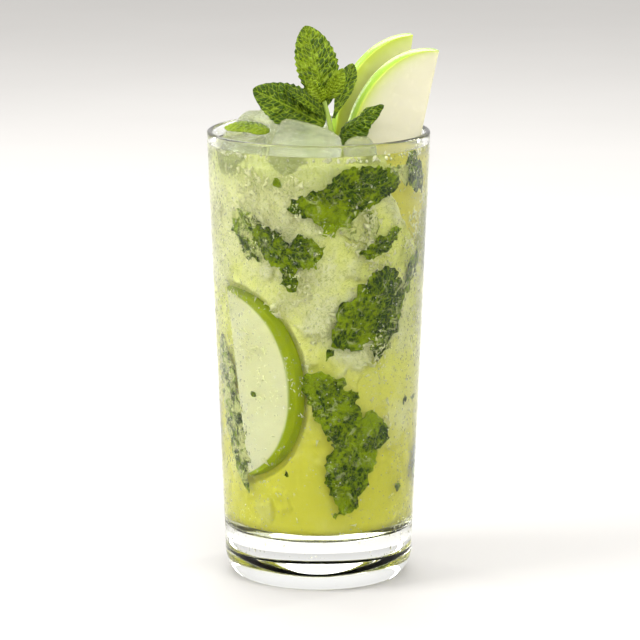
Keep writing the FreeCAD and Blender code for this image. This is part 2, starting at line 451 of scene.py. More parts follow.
# every cell of a grid with its eight neighbours, round the glass and held at its top and bottom
def neighbours(grid):
    rows, columns = grid.shape
    padded = np.pad(np.pad(grid, ((1, 1), (0, 0)), "edge"), ((0, 0), (1, 1)), "wrap")
    return np.stack([padded[i:i + rows, j:j + columns] for i in range(3) for j in range(3)])


# how deep the cloudy drink has to stay at each place so that the sunk pieces lie in front of it: the deepest
# point of a piece in each cell, widened by three cells and then smoothed
def roomForSunk(angle, height, sunk):
    rows, columns = angle.shape
    low, high = height[0, 0], height[-1, 0]
    around = np.arctan2(sunk[:, 1], sunk[:, 0]) % (2 * math.pi)
    column = np.round(around / (2 * math.pi) * columns).astype(int) % columns
    row = np.clip(np.round((sunk[:, 2] - low) / (high - low) * (rows - 1)), 0, rows - 1).astype(int)
    depth = insideRadius(sunk[:, 2]) - np.hypot(sunk[:, 0], sunk[:, 1])
    room = np.zeros(angle.shape)
    np.maximum.at(room, (row, column), depth + drinkLook["room"])
    for widen in range(3):
        room = neighbours(room).max(axis=0)
    for smooth in range(3):
        room = neighbours(room).mean(axis=0)
    return room


def cloudyDrink():
    d = drinkLook
    finish = Finish("cloudyDrink", Roughness=0.3, Specular_IOR_Level=0.1)
    where = finish.place()
    ice = finish.value("ice")
    height = finish.add("SeparateXYZ", {0: where}).outputs["Z"]
    upward = finish.spread(height, d["paleFrom"], d["paleTo"], 0.0, 1.0, smooth=False)
    crackle = finish.noise(where, 620.0, 5.0, 0.75, 1.4)
    streaks = finish.noise(where, 190.0, 6.0, 0.7, 0.8)
    wide = finish.noise(where, 38.0, 3.0, 0.5)
    amount = finish.math("ADD", ice, finish.spread(wide, 0.3, 0.7, -0.3, 0.3))
    amount = finish.math("ADD", amount, finish.spread(streaks, 0.35, 0.75, -0.15, 0.25))
    # pale patches of ice; the one at the upper left front is a painted glow of the light from the left
    for place, reach, strength in d["clouds"]:
        away = finish.add("VectorMath", {0: where, 1: place}, operation="DISTANCE").outputs["Value"]
        amount = finish.math("ADD", amount, finish.spread(away, 0.3 * reach, reach, strength, 0.0))
    amount = finish.math("MULTIPLY", amount, finish.spread(upward, 0.0, 1.0, 0.45, 1.15))
    body = finish.mix(finish.spread(upward, 0.2, 0.75), d["greenLow"], d["green"])
    body = finish.mix(finish.spread(amount, 0.0, 1.05), body, d["pale"])
    frosty = finish.math("MULTIPLY", finish.spread(amount, 0.25, 0.9), finish.spread(upward, 0.1, 0.6))
    flecks = finish.math("MULTIPLY", frosty, finish.spread(crackle, 0.52, 0.62, 0.0, 1.0))
    specks = finish.math("MULTIPLY", frosty, finish.spread(crackle, 0.47, 0.36, 0.0, 0.6))
    threads = finish.noise(where, 300.0, 3.0, 0.5, 2.2)
    besideThread = finish.math("ABSOLUTE", finish.math("SUBTRACT", threads, 0.5))
    lines = finish.spread(besideThread, 0.0, 0.035, 1.0, 0.0)
    lines = finish.math("MULTIPLY", lines, finish.spread(upward, 0.2, 0.7, 0.08, 0.5))
    body = finish.mix(lines, body, d["shade"])
    body = finish.mix(specks, body, d["shade"])
    body = finish.mix(flecks, body, d["frost"])
    body = finish.mix(finish.spread(height, d["shadeFrom"], d["shadeTo"], 0.0, 0.6), body, d["underIce"])
    finish.join(body, "Base Color")
    finish.bump(finish.math("MULTIPLY", crackle, finish.spread(frosty, 0.0, 1.0, 0.15, 1.0)), 0.5, 0.0012)
    return finish.material


# the opaque middle of the drink: it follows the wall at the lumps' depth and rounds off at floor and surface
def makeCore(sunk):
    d = drinkLook
    low = glassShape["baseThickness"] + d["floorGap"]
    high = d["level"] - d["topGap"]
    upward = np.linspace(low, high, d["coreRows"])[:, None]
    angle, height = np.broadcast_arrays(fullTurn(d["coreColumns"]), upward)
    depth, ice = lumpField(angle, height)
    place = roundPlace(30 * mm, angle, height)
    grain = d["grain"] * unevenness(place, 9, 6 * mm, 1.2 * mm) * smoothStep(height, 50 * mm, 90 * mm)
    depth = np.clip(depth + grain, d["shallowest"], d["deepest"] + 2 * mm)
    depth = np.maximum(depth, roomForSunk(angle, height, sunk))
    nearFloor = np.clip((height - low) / d["floorRound"], 0, 1)
    nearTop = np.clip((high - height) / d["topRound"], 0, 1)
    rounding = d["floorRound"] * (1 - np.sqrt(1 - (1 - nearFloor) ** 2))
    rounding += d["topRound"] * (1 - np.sqrt(1 - (1 - nearTop) ** 2))
    radius = insideRadius(height) - depth - rounding
    points = roundPlace(radius, angle, height).reshape(-1, 3)
    points = np.vstack([points, [[0, 0, low - 0.3 * mm], [0, 0, high]]])
    values = {"ice": np.append(ice.ravel(), [0.1, 0.3])}
    makePiece("cloudyDrink", points, ballFaces(*radius.shape), cloudyDrink(), values=values)
    print("drink: liquid and its cloudy ice-filled middle")


# from millimetres, up from the middle of the drink's surface
def overSurface(points):
    return points * mm + [0, 0, drinkLook["level"]]


# ------- ice at the top -------

# centre and size in millimetres from the middle of the drink's surface, turn in degrees about X, Y and Z
def block(centre, size, turn):
    return dict(centre=centre, size=size, turn=turn)


iceBlocks = {
    "ice_front": block((-4.6, -23.0, 1.1), (23.0, 14.5, 18.5), (-10, 14, 4)),
    "ice_front_small": block((13.2, -22.6, 0.6), (9.6, 9.0, 11.0), (6, -8, 25)),
    "ice_left": block((-24.1, -13.7, -1.4), (12.5, 13.5, 13.0), (-8, 10, 38)),
    "ice_left_edge": block((-28.4, 0.8, -1.0), (8.5, 11.0, 12.0), (6, 8, -4)),
    "ice_middle": block((-10.6, -2.7, 2.3), (14.0, 14.5, 20.0), (8, 16, 12)),
    "ice_centre": block((1.2, 4.4, -0.6), (7.0, 9.0, 11.0), (-8, 6, 18)),
    "ice_rear_left": block((-20.3, 12.6, 0.2), (15.5, 14.5, 18.0), (10, 8, -32)),
    "ice_rear": block((-2.2, 20.5, 0.2), (16.5, 17.0, 18.0), (-12, 6, 15)),
    "ice_rear_edge": block((-15.6, 25.9, -1.2), (7.0, 7.5, 11.0), (6, -6, 28)),
    "ice_rear_right": block((15.9, 21.0, -1.4), (13.0, 11.0, 14.5), (8, -6, 40)),
}


def clearIce():
    finish = Finish("clearIce", IOR=1.31, Transmission_Weight=0.94)
    where = finish.place()
    cracks = finish.noise(where, 380.0, 6.0, 0.7, 1.6)
    clouds = finish.noise(where, 130.0, 4.0, 0.6, 0.5)
    milky = finish.spread(clouds, 0.42, 0.62)
    flecks = finish.math("MAXIMUM", milky, finish.spread(cracks, 0.56, 0.66))
    finish.join(finish.mix(flecks, colour(0.80, 0.85, 0.70), colour(0.96, 0.97, 0.90)), "Base Color")
    finish.join(finish.spread(flecks, 0.0, 1.0, 0.0, 0.26), "Roughness")
    finish.bump(cracks, 0.75, 0.0013)
    return finish.material


# a broken and melted block: the solid left inside a box and some chance bevels, its edges rounded because the
# planes are added up as (sum of (n.w / d)^p)^(-1/p), with a smooth uneven field over it
def icePoints(ice, seed, rows=64, columns=96, power=10.0, bevels=14, wander=0.03):
    rng = np.random.default_rng(seed)
    way = np.vstack([sphereGrid(rows, columns).reshape(-1, 3), [[0, 0, 1], [0, 0, -1]]])
    normals = unit(rng.normal(size=(bevels, 3)))
    offsets = rng.uniform(0.84, 1.04, bevels) * np.abs(normals).sum(axis=1) ** 0.45
    planes = np.vstack([np.eye(3), -np.eye(3), normals / offsets[:, None]])
    reach = (np.clip(way @ planes.T, 0, None) ** power).sum(axis=1) ** (-1 / power)
    points = way * reach[:, None] * (np.array(ice["size"]) / 2)
    push = wander * unevenness(points, seed, 12.0, 1.6)
    points = points * (0.99 + push)[:, None]
    points = turned(points, *ice["turn"]) + np.array(ice["centre"])
    return overSurface(points), ballFaces(rows, columns)


def makeIce():
    look = clearIce()
    for seed, (name, ice) in enumerate(iceBlocks.items(), 1):
        points, faces = icePoints(ice, seed)
        makePiece(name.replace("ice_", "iceBlock_"), points, faces, look, (name,))
    print("ice: blocks at the surface")


# ------- apple -------

appleShape = {"radius": 37.0, "halfHeight": 33.0, "shoulder": 11.5}


# tip is the top of the straight cut in millimetres from the middle of the surface, lean and yaw in degrees,
# width from the cut to the skin, depth from the apple's middle to the face, thick behind that face, and
# rindAndShade is how far the green goes into the flesh; on the back slice it reaches across the face as
# painted shade and painted light passed through from the front slice
def appleCut(tip, lean, yaw, width, depth, thick, rindAndShade):
    return dict(tip=tip, lean=lean, yaw=yaw, width=width, depth=depth, thick=thick, rindAndShade=rindAndShade)


appleSlices = {
    "apple_slice_front": appleCut((40.3, 2.0, 31.3), 12.7, 20, 24.8, 10.2, 4.0, rindAndShade=3.2),
    # the back slice's long reach of green is painted shade and painted light through the front slice
    "apple_slice_back": appleCut((31.8, 12.0, 35.3), 7.0, 15, 23.1, 8.2, 4.0, rindAndShade=13.0),
}
sunkSlice = appleCut((-29.3, -15.1, -46.0), 7.6, 145, 22.8, 14.0, -3.4, rindAndShade=2.2)


# flesh and skin, with greenNearSkinAndShade where the flesh turns green near the skin and where the painted
# shade of the other slice lies; under the surface the flesh is the colour soaked
def appleFinish(name, flesh, greenNearSkinAndShade, skin, soaked, gloss, shine):
    finish = Finish(name, Roughness=gloss, Specular_IOR_Level=shine, Subsurface_Weight=0.3,
                    Subsurface_Scale=0.003, Subsurface_Radius=(1.0, 0.95, 0.35))
    where = finish.place()
    fibres = finish.noise(where, 300.0, 5.0, 0.6, 0.4)
    blotch = finish.noise(where, 60.0, 3.0)
    body = finish.mix(finish.spread(blotch, 0.35, 0.65, 0.0, 0.35), flesh, timesColour(0.86, flesh))
    body = finish.mix(finish.spread(fibres, 0.5, 0.72, 0.0, 0.3), body, timesColour(1.18, flesh))
    # green flesh near the skin, and on the back slice painted shade from the front slice
    body = finish.mix(finish.value("rindAndShade"), body, greenNearSkinAndShade)
    height = finish.add("SeparateXYZ", {0: where}).outputs["Z"]
    level = drinkLook["level"]
    body = finish.mix(finish.spread(height, level - 4 * mm, level, 0.8, 0.0), body, soaked)
    speck = finish.noise(where, 900.0, 2.0)
    wash = finish.noise(where, 90.0, 3.0)
    peel = finish.mix(finish.spread(wash, 0.35, 0.7, 0.0, 0.5), skin, timesColour(1.15, skin))
    peel = finish.mix(finish.spread(speck, 0.64, 0.74, 0.0, 0.6), peel, timesColour(1.5, skin))
    finish.join(finish.mix(finish.value("skin"), body, peel), "Base Color")
    finish.bump(fibres, 0.14, 0.0006)
    return finish.material


# a slice off an apple's cheek: down its length, each row is a ring across the face from the cut to the skin,
# over the skin, back across the other face and over the cut; the skin is an upright half ellipse turned round
def appleSlicePoints(shape, rows=150, across=30, over=11):
    a = appleShape
    offset = math.sqrt(a["radius"] ** 2 - shape["depth"] ** 2) - shape["width"]
    back = np.linspace(1, 0, across, endpoint=False)
    share = np.concatenate([1 - back, np.ones(over), back, np.zeros(3)])
    layer = np.concatenate([np.zeros(across), np.linspace(0, 1, over), np.ones(across), [1, 2 / 3, 1 / 3]])
    depth = shape["depth"] - abs(shape["thick"]) * layer
    out = np.clip((np.hypot(depth, offset) - a["shoulder"]) / (a["radius"] - a["shoulder"]), 0, 1)
    halfCut = a["halfHeight"] * np.sqrt(1 - out**2)
    down = np.linspace(0.0, math.pi, rows)[:, None]
    z = halfCut[None, :] * np.cos(down) * 0.9995
    radius = a["shoulder"] + (a["radius"] - a["shoulder"]) * np.sqrt(1 - (z / a["halfHeight"]) ** 2)
    reach = np.maximum(np.sqrt(radius**2 - depth**2) - offset, 0)
    # the edges between skin and faces are a little rounded, and the cut faces are not quite flat
    edge = 0.25 * np.sin(math.pi * layer) * (share == 1)
    x = -share * (reach - 0.25) - edge
    y = layer * shape["thick"] + 0.0 * x
    y += 0.12 * unevenness(np.stack([x, z + 50 * layer], axis=-1), 3, 18.0, 4.0) * (share < 1)
    skin = np.broadcast_to((share == 1) & (layer > 0) & (layer < 1), x.shape).astype(float)
    # the green near the skin, which on the back slice also carries painted shade
    rindAndShade = np.exp(-((1 - share) * reach) / shape["rindAndShade"])
    points = np.stack([x, y, z - halfCut[0]], axis=-1)
    points = np.vstack([points.reshape(-1, 3), points[0].mean(axis=0), points[-1].mean(axis=0)])
    points = turned(points, 0, shape["lean"], shape["yaw"]) + np.array(shape["tip"])
    values = {"skin": np.append(skin, [1, 1]), "rindAndShade": np.append(rindAndShade, [1, 1])}
    return overSurface(points), ballFaces(*x.shape), values


def makeApple():
    # the second colour is the green near the skin, also painted as shade over the back slice's face
    fresh = appleFinish("freshApple", colour(0.54, 0.515, 0.375), colour(0.36, 0.44, 0.03),
                        colour(0.24, 0.38, 0.02), colour(1.0, 0.94, 0.24), 0.25, 0.4)
    soaked = appleFinish("soakedApple", colour(1.0, 0.99, 0.66), colour(0.75, 0.78, 0.14),
                         colour(0.37, 0.46, 0.001), colour(1.0, 1.0, 0.68), 0.4, 0.06)
    sunk = []
    for name, shape in appleSlices.items():
        points, faces, values = appleSlicePoints(shape)
        makePiece(name.replace("apple_slice", "appleSlice"), points, faces, fresh, (name,), values)
        sunk.append(points[points[:, 2] < drinkLook["level"] - 2 * mm])
    points, faces, values = appleSlicePoints(sunkSlice)
    # the peel's side faces the wall there, so the last few millimetres of the face are green too
    values["skin"] = np.maximum(values["skin"], smoothStep(values["rindAndShade"], 0.18, 0.30))
    makePiece("appleSlice_sunk", points, faces, soaked, values=values)
    print("apple: two slices at the rim and one sunk")
    return np.vstack([*sunk, points])


# ------- mint -------

# places in millimetres from the middle of the surface
stemLine = {
    "foot": (5.6, -9.0, -10.0),
    "bend": (4.8, -9.0, 7.0),
    "top": (1.6, -9.0, 16.5),
    "radius": (1.05, 0.75),      # at the foot and at the top
    "leafSeat": 0.95,            # from its side to the middle of a leaf's foot
}


# at is how far up the stalk a leaf grows, facing the way of its upper side, arch how far it bows and fold how
# its margins stand up, as in a fresh leaf; tone is 0 for the darkest leaf and 1 for the lightest
def sprigLeaf(at, tip, facing, width, arch, fold, tone, **more):
    return dict(at=at, tip=tip, facing=facing, width=width, arch=arch, fold=fold, tone=tone, **more)


sprigLeaves = {
    "mint_leaf_tall": sprigLeaf(0.86, (-4.4, -4.6, 40.5), (0.25, -1, 0.1), 15.0, 0.7, 0.16, 0.5, widest=1.05),
    "mint_leaf_left": sprigLeaf(0.62, (-21.7, -13.4, 20.5), (0.05, -1, 0.3), 16.0, 1.0, 0.12, 0.1),
    "mint_leaf_left_young": sprigLeaf(0.8, (-9.8, -16.6, 20.8), (0.1, -0.8, 0.6), 6.2, 0.6, 0.2, 0.0),
    "mint_leaf_bud_left": sprigLeaf(0.97, (-2.4, -13.4, 24.4), (-0.3, -1, 0.1), 6.2, 0.4, 0.3, 0.5),
    "mint_leaf_bud_right": sprigLeaf(0.99, (8.0, -10.6, 27.0), (0.3, -1, 0.2), 6.4, 0.5, 0.25, 0.8),
    "mint_leaf_right": sprigLeaf(0.36, (21.4, -18.5, 15.8), (-0.35, -0.75, 0.6), 9.4, 1.4, -0.3, -0.3,
                                 crinkle=3.2),
    "mint_leaf_back": sprigLeaf(0.68, (11.4, -2.4, 27.6), (-0.3, -1, 0.2), 6.6, -0.6, 0.12, 0.1, widest=1.7),
    "mint_leaf_loose": sprigLeaf(None, (-31.4, -7.5, 6.8), (0.1, -0.45, 1), 9.0, 1.4, -0.12, 0.9,
                                 base=(-16.4, -12.5, 6.2), crinkle=1.5),
}


# a leaf in the drink: foot and tip are degrees round from the front towards +X and millimetres up, depth is
# from the wall, bow is sideways, and haze is how much ice and froth lie over it
def sunkLeaf(foot, tip, width, depth, bow=0.1, tone=0.2, haze=0.0):
    return dict(foot=foot, tip=tip, width=width, depth=depth, bow=bow, tone=tone, haze=haze)


sunkLeaves = {
    "topLong": sunkLeaf((33, 137), (-18, 131), 13.0, 0.9, bow=2.0, tone=0.25),
    "topBroad": sunkLeaf((4, 136), (48, 139.5), 15.5, 0.5, bow=-0.5, tone=0.1),
    "topPale": sunkLeaf((20, 133), (3, 122), 10.0, 1.5, bow=-1.0, tone=1.0),
    "topVeiled": sunkLeaf((10, 130), (35, 120), 13.0, 2.2, bow=1.0, tone=0.2, haze=0.75),
    "leftVeiled": sunkLeaf((-52, 128), (-34, 112), 13.0, 1.2, bow=1.0, tone=0.0, haze=0.4),
    "leftMiddle": sunkLeaf((-37, 124), (-14, 111), 10.5, 0.6, bow=-0.5, tone=0.2),
    "leftPale": sunkLeaf((-30, 115.5), (-14, 113), 6.5, 1.3, bow=0.0, tone=1.0),
    "leftEnd": sunkLeaf((-17, 116.5), (3, 115.5), 12.0, 0.5, bow=0.0, tone=0.15),
    "leftTail": sunkLeaf((-21, 114), (-15.5, 103), 6.0, 0.8, bow=0.4, tone=0.6),
    "rightLarge": sunkLeaf((12, 84), (47, 109.5), 18.0, 0.5, bow=-1.0, tone=0.2),
    "rightBehind": sunkLeaf((54, 105), (37, 78.5), 13.0, 1.5, bow=-1.0, tone=0.15, haze=0.25),
    "rightPale": sunkLeaf((22, 90), (8, 84), 8.0, 1.4, bow=0.0, tone=1.0),
    "middleLarge": sunkLeaf((-4, 75), (22, 48), 16.0, 0.7, bow=1.5, tone=0.45),
    "middleCurl": sunkLeaf((-9, 73), (15, 69.5), 9.0, 0.4, bow=-1.5, tone=0.2),
    "lowLarge": sunkLeaf((37, 59), (17, 26), 18.0, 0.6, bow=-4.0, tone=0.4),
    "lowLobe": sunkLeaf((31, 40), (4, 38), 10.0, 0.5, bow=1.5, tone=0.55),
    "lowCurl": sunkLeaf((45, 50), (24, 58.5), 10.0, 1.0, bow=-1.0, tone=0.15),
    "leftBand": sunkLeaf((-75, 84), (-50, 32), 12.0, 0.9, bow=-1.0, tone=0.1, haze=0.45),
    "rightTop": sunkLeaf((57, 146), (73, 133), 9.0, 0.6, bow=0.5, tone=0.1, haze=0.15),
    "rightTopVeiled": sunkLeaf((38, 141), (66, 139), 7.0, 1.6, bow=0.5, tone=0.1, haze=0.6),
    "rightSmall": sunkLeaf((24, 114.5), (52, 122), 5.5, 0.6, bow=-0.5, tone=0.3),
    "rightEdge": sunkLeaf((71, 113), (57, 100), 6.5, 0.7, bow=0.5, tone=0.15, haze=0.2),
    "backHigh": sunkLeaf((150, 118), (172, 140), 15.0, 0.6, bow=1.5, tone=0.2),
    "backPale": sunkLeaf((196, 128), (170, 121), 10.0, 1.3, bow=0.5, tone=0.9),
    "backLeft": sunkLeaf((232, 122), (252, 98), 14.0, 0.6, bow=-1.5, tone=0.3),
    "backMiddle": sunkLeaf((185, 96), (212, 74), 17.0, 0.6, bow=1.5, tone=0.25),
    "backVeiled": sunkLeaf((140, 92), (163, 80), 12.0, 1.8, bow=1.0, tone=0.1, haze=0.5),
    "backRight": sunkLeaf((112, 84), (122, 52), 16.0, 0.6, bow=1.5, tone=0.35),
    "backLow": sunkLeaf((228, 56), (204, 36), 15.0, 0.6, bow=-2.0, tone=0.4),
    "backCurl": sunkLeaf((165, 48), (145, 34), 11.0, 0.9, bow=1.0, tone=0.2),
    "sideHigh": sunkLeaf((98, 128), (88, 104), 13.0, 0.6, bow=1.0, tone=0.2),
    "sideLow": sunkLeaf((84, 44), (104, 28), 12.0, 0.8, bow=1.0, tone=0.5),
    "farLeft": sunkLeaf((262, 62), (250, 34), 13.0, 0.7, bow=1.0, tone=0.2, haze=0.2),
}
leafLook = {
    "thick": 0.42,
    "teeth": 13,
    "toothDepth": 0.09,
    "veins": 8,                  # side veins along each half
    "pucker": 0.05,              # how far the blade swells between them, as a share of its width
    "slant": 0.9,
}


def leafFinish(name, dark, light, vein, gloss, hazy=False):
    finish = Finish(name, Roughness=gloss, Specular_IOR_Level=0.04 if hazy else 0.16, Subsurface_Weight=0.1,
                    Subsurface_Scale=0.0015, Subsurface_Radius=(0.7, 1.0, 0.2))
    where = finish.place()
    flat = finish.add("UVMap", uv_map="flat").outputs["UV"]
    drift = finish.add("TexNoise", {"Vector": where, "Scale": 500.0}).outputs["Color"]
    bent = finish.add("VectorMath", {0: drift, 1: (0.35, 0.35, 0.35), 2: flat}, operation="MULTIPLY_ADD")
    cells = finish.add("TexVoronoi", {"Vector": bent.outputs[0], "Scale": 0.60, "Randomness": 0.6},
                       feature="DISTANCE_TO_EDGE").outputs["Distance"]
    mottle = finish.noise(where, 620.0 if hazy else 420.0, 4.0)
    patch = finish.noise(where, 110.0, 3.0)
    blotch = 0.55 if hazy else 0.3
    tone = finish.math("ADD", finish.value("tone"), finish.spread(patch, 0.3, 0.7, -blotch, blotch + 0.15))
    tone = finish.math("ADD", tone, finish.spread(mottle, 0.35, 0.7, -0.2, 0.6 if hazy else 0.3))
    tone = finish.math("SUBTRACT", tone, finish.spread(cells, 0.05, 0.4, 0.0, 0.15 if hazy else 0.45))
    body = finish.mix(finish.spread(tone, 0.0, 1.0), dark, light)
    veins = finish.math("MAXIMUM", finish.value("vein"), finish.spread(cells, 0.01, 0.085, 0.75, 0.0))
    body = finish.mix(veins, body, vein)
    if hazy:
        froth = finish.noise(where, 260.0, 5.0, 0.7, 0.8)
        cover = finish.math("ADD", finish.value("haze"), finish.spread(froth, 0.3, 0.7, -0.5, 0.5))
        body = finish.mix(finish.spread(cover, 0.2, 0.75, 0.0, 0.95), body, colour(0.80, 0.83, 0.36))
    finish.join(body, "Base Color")
    finish.bump(finish.spread(cells, 0.0, 0.3), 0.7, 0.00035)
    return finish.material


# half width of an ovate blade with forward-pointing teeth; share runs from the foot at 0 to the tip at 1
def bladeHalf(share, leaf):
    look = leafLook
    body = np.sin(math.pi * np.clip(share, 0, 1) ** leaf.get("widest", 0.8)).clip(0, 1) ** 0.62
    wave = (share * look["teeth"]) % 1.0
    tooth = np.minimum(wave / 0.65, (1 - wave) / 0.35)
    half = leaf["width"] / 2 * body * (1 - look["toothDepth"] * (1 - tooth) * body)
    return np.maximum(half, np.where(share < 0.5, 0.55, 0.12))


# how far each point swells up between the veins, and how near it is to a vein: side veins leave the midrib
# towards the tip at even steps, and finer ones cross from one to the next
def quilting(share, across, leaf):
    look = leafLook
    side = share * look["veins"] * 1.15 - np.abs(across) ** 0.9 * look["slant"]
    side = side + 0.12 * np.sin(5 * across + leaf["seed"]) + 0.25 * (across < 0)
    between = np.abs(np.sin(math.pi * side))
    crossing = np.abs(across) * leaf["width"] / 3.4 + np.floor(side) * 0.37 + 0.12 * np.sin(9 * side)
    finer = np.abs(np.sin(math.pi * crossing))
    midrib = 1 - np.exp(-((across / 0.06) ** 2))
    fade = np.clip(np.sin(math.pi * share), 0, 1) ** 0.25
    bulge = between**0.6 * (0.45 + 0.55 * finer**0.6) * midrib * fade * (1 - 0.75 * np.abs(across) ** 6)
    vein = 0.7 * (1 - smoothStep(between, 0.02, 0.2)) * (1 - np.abs(across) ** 3)
    vein = np.maximum(vein, 1 - smoothStep(np.abs(across), 0.01, 0.055))
    return bulge, vein


# closes a blade: each ring goes over the upper side from edge to edge and back under it, and the foot and the
# tip are closed onto a point; the map slants with the side veins
def leafMesh(upper, lower, share, across, length, half, vein, leaf):
    both = np.concatenate([upper, lower[:, ::-1]], axis=1)
    points = np.vstack([both.reshape(-1, 3), both[0].mean(axis=0), both[-1].mean(axis=0)])
    u = share * length - leafLook["slant"] * np.abs(across) * half
    flat = np.stack([u + 37 * leaf["seed"], across * half], axis=-1)
    flat = np.concatenate([flat, flat[:, ::-1]], axis=1).reshape(-1, 2)
    vein = np.append(np.concatenate([vein, vein[:, ::-1]], axis=1), [0.5, 0.5])
    values = {"vein": vein, "tone": np.full(len(points), leaf["tone"])}
    if "haze" in leaf:
        values["haze"] = np.full(len(points), leaf["haze"])
    return points, ballFaces(*both.shape[:2]), values, np.vstack([flat, flat[:1], flat[-1:]])


# a blade's points in rows from foot to tip and columns from edge to edge, its half width and its quilting
def bladeGrid(leaf, rows, columns):
    share, across = np.meshgrid(np.linspace(0, 1, rows), np.linspace(-1, 1, columns), indexing="ij")
    return share, across, bladeHalf(share, leaf), *quilting(share, across, leaf)


# a leaf of the sprig from its foot to its tip, bowed by arch, folded along the midrib, quilted between veins
def leafPoints(leaf, rows=120, columns=49):
    base, tip = np.array(leaf["base"], float), np.array(leaf["tip"], float)
    axis = tip - base
    length = np.linalg.norm(axis)
    side = unit(np.cross(axis, leaf["facing"]))
    up = unit(np.cross(side, axis))
    share, across, half, bulge, vein = bladeGrid(leaf, rows, columns)
    billow = unevenness(np.stack([share * length, across * half], axis=-1), leaf["seed"] + 40, 16.0, 4.0)
    crinkle = leaf.get("crinkle", 1.0)
    lift = leaf["fold"] * half * np.abs(across) ** 1.15 + leafLook["pucker"] * leaf["width"] * bulge * crinkle
    lift = lift + 0.05 * leaf["width"] * billow * np.abs(across) * np.sin(math.pi * share) * crinkle
    lift = lift + leaf["arch"] * 4 * share * (1 - share)
    upper = base + axis * share[..., None] + side * (across * half)[..., None] + up * lift[..., None]
    lower = upper - up * (leafLook["thick"] * (1 - 0.5 * np.abs(across) ** 3))[..., None]
    points, faces, values, flat = leafMesh(upper, lower, share, across, length, half, vein, leaf)
    return overSurface(points), faces, values, flat


# a leaf lying against the inside of the wall: its blade is laid out flat as arc length and height, torn and
# crumpled by uneven fields, then wrapped round at its depth inside the wall
def sunkLeafPoints(leaf, rows=84, columns=33):
    middle = insideRadius((leaf["foot"][1] + leaf["tip"][1]) / 2 * mm) / mm
    foot = np.array([math.radians(leaf["foot"][0]) * middle, leaf["foot"][1]])
    tip = np.array([math.radians(leaf["tip"][0]) * middle, leaf["tip"][1]])
    axis = tip - foot
    length = np.linalg.norm(axis)
    side = np.array([-axis[1], axis[0]]) / length
    share, across, half, bulge, vein = bladeGrid(leaf, rows, columns)
    sideways = across * half + leaf["bow"] * 4 * share * (1 - share)
    plan = foot + axis * share[..., None] + side * sideways[..., None]
    rag = np.stack([unevenness(plan, leaf["seed"] + k, 9.0, 1.6) for k in (100, 200)], axis=-1)
    plan = plan + rag * (0.45 + 0.75 * np.abs(across) ** 2)[..., None]
    crumple = unevenness(plan, leaf["seed"] + 300, 11.0, 2.2)
    depth = leaf["depth"] + 0.55 * (1 + crumple) * np.sin(math.pi * share) ** 0.5 - 0.5 * bulge
    depth = np.maximum(depth, 0.3)

    def wrapped(depth):
        radius = insideRadius(plan[..., 1] * mm) - depth * mm
        around = plan[..., 0] / middle
        return np.stack([radius * np.sin(around), -radius * np.cos(around), plan[..., 1] * mm], axis=-1)

    upper, lower = wrapped(depth), wrapped(depth + leafLook["thick"])
    return leafMesh(upper, lower, share, across, length, half, vein, leaf)


def stemPoint(share):
    foot, bend, top = (np.array(stemLine[key]) for key in ("foot", "bend", "top"))
    return foot * (1 - share) ** 2 + bend * 2 * share * (1 - share) + top * share**2


def stemRadius(share):
    thick, thin = stemLine["radius"]
    return thick + (thin - thick) * share


# a leaf on the stalk starts on the side of it that its tip lies
def leafFoot(at, tip):
    root = stemPoint(at)
    along = unit(stemPoint(min(at + 0.01, 1)) - stemPoint(max(at - 0.01, 0)))
    outward = np.array(tip) - root
    sideways = unit(outward - along * outward.dot(along))
    return root + sideways * (stemRadius(at) + stemLine["leafSeat"])


# the stalk: a ring with four soft corners carried along its bent line
def makeStem(rows=60, columns=28):
    share = np.linspace(0, 1, rows)
    line = np.stack([stemPoint(t) for t in share])
    along = unit(np.gradient(line, axis=0))
    sideA = unit(np.cross(along, [0, 1, 0]))
    sideB = np.cross(along, sideA)
    around = fullTurn(columns)
    radius = stemRadius(share)[:, None] * (1 - 0.07 * np.cos(4 * around))
    ring = sideA[:, None] * (radius * np.cos(around))[..., None]
    ring = ring + sideB[:, None] * (radius * np.sin(around))[..., None]
    points = np.vstack([(line[:, None] + ring).reshape(-1, 3), line[:1], line[-1:]])
    finish = Finish("mintStem", Roughness=0.4)
    streaks = finish.noise(finish.place(), 200.0)
    finish.join(finish.mix(streaks, colour(0.16, 0.24, 0.02), colour(0.32, 0.42, 0.07)), "Base Color")
    faces = ballFaces(rows, columns)
    makePiece("mintStem", overSurface(points), faces, finish.material, ("mint_stem",))


def makeLeaf(name, made, material, replaces=()):
    points, faces, values, flat = made
    makePiece(name, points, faces, material, replaces, values, flat)
    return points


def makeSprig():
    fresh = leafFinish("freshMint", colour(0.030, 0.058, 0.002), colour(0.15, 0.21, 0.004),
                       colour(0.20, 0.28, 0.014), 0.45)
    for seed, (name, leaf) in enumerate(sprigLeaves.items(), 1):
        leaf["seed"] = seed
        if "base" not in leaf:
            leaf["base"] = leafFoot(leaf["at"], leaf["tip"])
        makeLeaf(name.replace("mint_leaf_", "mintLeaf_"), leafPoints(leaf), fresh, (name,))
    makeStem()
    print("mint: sprig and loose leaf")


def makeSunkLeaves():
    wet = leafFinish("sunkMint", colour(0.026, 0.060, 0.001), colour(0.33, 0.45, 0.004),
                     colour(0.24, 0.36, 0.004), 0.4, hazy=True)
    sunk = []
    for seed, (name, leaf) in enumerate(sunkLeaves.items(), 11):
        leaf["seed"] = seed
        sunk.append(makeLeaf("mintSunk_" + name, sunkLeafPoints(leaf), wet))
    makeBits(wet)
    print("mint: leaves sunk in the drink")
    return np.vstack(sunk)


# ------- bits, bubbles and dew -------

